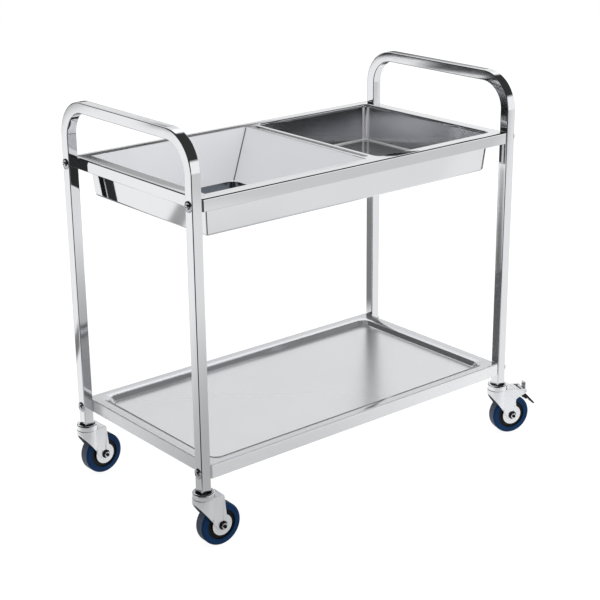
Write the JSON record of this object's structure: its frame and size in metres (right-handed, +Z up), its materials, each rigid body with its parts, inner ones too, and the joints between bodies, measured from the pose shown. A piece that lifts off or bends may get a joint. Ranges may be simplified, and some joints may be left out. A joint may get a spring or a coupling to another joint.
{
  "type": "dining cart",
  "caption": "Two-tier stainless steel dining cart with a waste funnel and a dish basin in the top, a recessed lower shelf, bent tube handles and swivel casters.",
  "frame": {"origin": "middle of the bounding box, on the floor", "axes": "+X along the cart towards the basin and the braked casters, +Y from its front to its back, +Z up"},
  "size_m": [1.0554, 0.5458, 0.93],
  "materials": {
    "tube_steel": "polished stainless steel tube",
    "tray_steel": "bright stainless steel sheet",
    "basin_steel": "mirror-polished stainless steel sheet",
    "funnel_steel": "satin stainless steel sheet",
    "shelf_steel": "satin stainless steel sheet",
    "fastener_steel": "plain stainless steel",
    "socket_nylon": "moulded nylon",
    "swivel_zinc": "bright zinc-plated steel",
    "ball_steel": "polished",
    "fork_zinc": "bright zinc-plated steel",
    "guard_zinc": "zinc-plated steel",
    "axle_steel": "zinc-plated steel",
    "black_washer": "black phosphate",
    "blue_rubber": "matte blue rubber",
    "black_plastic": "moulded black plastic",
    "bearing_nylon": "moulded nylon",
    "brake_zinc": "zinc-plated steel",
    "pedal_plastic": "moulded black plastic"
  },
  "bodies": {
    "cart": {"left_end_frame": "tube_steel", "right_end_frame": "tube_steel", "tray_top": "tray_steel", "dish_basin": "basin_steel", "waste_funnel": "funnel_steel", "tray_casing": "tray_steel", "lower_shelf": "shelf_steel", "shelf_rib": "shelf_steel", "frame_bolts": "fastener_steel", "frame_washers": "fastener_steel", "frame_nuts": "fastener_steel", "leg_inserts": "socket_nylon", "front_left_swivel_head": "swivel_zinc", "front_left_ball_ring": "ball_steel", "rear_left_swivel_head": "swivel_zinc", "rear_left_ball_ring": "ball_steel", "front_right_swivel_head": "swivel_zinc", "front_right_ball_ring": "ball_steel", "rear_right_swivel_head": "swivel_zinc", "rear_right_ball_ring": "ball_steel"},
    "front_left_fork": {"front_left_fork": "fork_zinc", "front_left_thread_guards": "guard_zinc", "front_left_axle": "axle_steel", "front_left_axle_washers": "black_washer", "front_left_axle_nut": "axle_steel"},
    "front_left_wheel": {"front_left_tyre": "blue_rubber", "front_left_wheel_core": "black_plastic", "front_left_wheel_bearing": "bearing_nylon"},
    "rear_left_fork": {"rear_left_fork": "fork_zinc", "rear_left_thread_guards": "guard_zinc", "rear_left_axle": "axle_steel", "rear_left_axle_washers": "black_washer", "rear_left_axle_nut": "axle_steel"},
    "rear_left_wheel": {"rear_left_tyre": "blue_rubber", "rear_left_wheel_core": "black_plastic", "rear_left_wheel_bearing": "bearing_nylon"},
    "front_right_fork": {"front_right_fork": "fork_zinc", "front_right_thread_guards": "guard_zinc", "front_right_axle": "axle_steel", "front_right_axle_washers": "black_washer", "front_right_axle_nut": "axle_steel", "front_right_brake_pin": "axle_steel"},
    "front_right_wheel": {"front_right_tyre": "blue_rubber", "front_right_wheel_core": "black_plastic", "front_right_wheel_bearing": "bearing_nylon"},
    "front_right_brake": {"front_right_brake_lever": "brake_zinc", "front_right_brake_pedal": "pedal_plastic"},
    "rear_right_fork": {"rear_right_fork": "fork_zinc", "rear_right_thread_guards": "guard_zinc", "rear_right_axle": "axle_steel", "rear_right_axle_washers": "black_washer", "rear_right_axle_nut": "axle_steel", "rear_right_brake_pin": "axle_steel"},
    "rear_right_wheel": {"rear_right_tyre": "blue_rubber", "rear_right_wheel_core": "black_plastic", "rear_right_wheel_bearing": "bearing_nylon"},
    "rear_right_brake": {"rear_right_brake_lever": "brake_zinc", "rear_right_brake_pedal": "pedal_plastic"}
  },
  "joints": [
    {"name": "front_left_swivel", "type": "hinge", "parent": "cart", "child": "front_left_fork", "pos_m": [-0.50175, -0.23041, 0.1215], "axis": [0, 0, 1], "continuous": true},
    {"name": "front_left_roll", "type": "hinge", "parent": "front_left_fork", "child": "front_left_wheel", "pos_m": [-0.46679, -0.23224, 0.05], "axis": [0.0523, 0.9986, 0], "continuous": true},
    {"name": "rear_left_swivel", "type": "hinge", "parent": "cart", "child": "rear_left_fork", "pos_m": [-0.50175, 0.24459, 0.1215], "axis": [0, 0, 1], "continuous": true},
    {"name": "rear_left_roll", "type": "hinge", "parent": "rear_left_fork", "child": "rear_left_wheel", "pos_m": [-0.46678, 0.24612, 0.05], "axis": [-0.0436, 0.999, 0], "continuous": true},
    {"name": "front_right_swivel", "type": "hinge", "parent": "cart", "child": "front_right_fork", "pos_m": [0.42325, -0.23041, 0.1215], "axis": [0, 0, 1], "continuous": true},
    {"name": "front_right_roll", "type": "hinge", "parent": "front_right_fork", "child": "front_right_wheel", "pos_m": [0.45654, -0.24123, 0.05], "axis": [0.309, 0.9511, 0], "continuous": true},
    {"name": "front_right_brake_press", "type": "hinge", "parent": "front_right_fork", "child": "front_right_brake", "pos_m": [0.48983, -0.25204, 0.11], "axis": [0.309, 0.9511, 0], "range_deg": [0, 10]},
    {"name": "rear_right_swivel", "type": "hinge", "parent": "cart", "child": "rear_right_fork", "pos_m": [0.42325, 0.24459, 0.1215], "axis": [0, 0, 1], "continuous": true},
    {"name": "rear_right_roll", "type": "hinge", "parent": "rear_right_fork", "child": "rear_right_wheel", "pos_m": [0.45825, 0.24459, 0.05], "axis": [0, 1, 0], "continuous": true},
    {"name": "rear_right_brake_press", "type": "hinge", "parent": "rear_right_fork", "child": "rear_right_brake", "pos_m": [0.49325, 0.24459, 0.11], "axis": [0, 1, 0], "range_deg": [0, 10]}
  ]
}
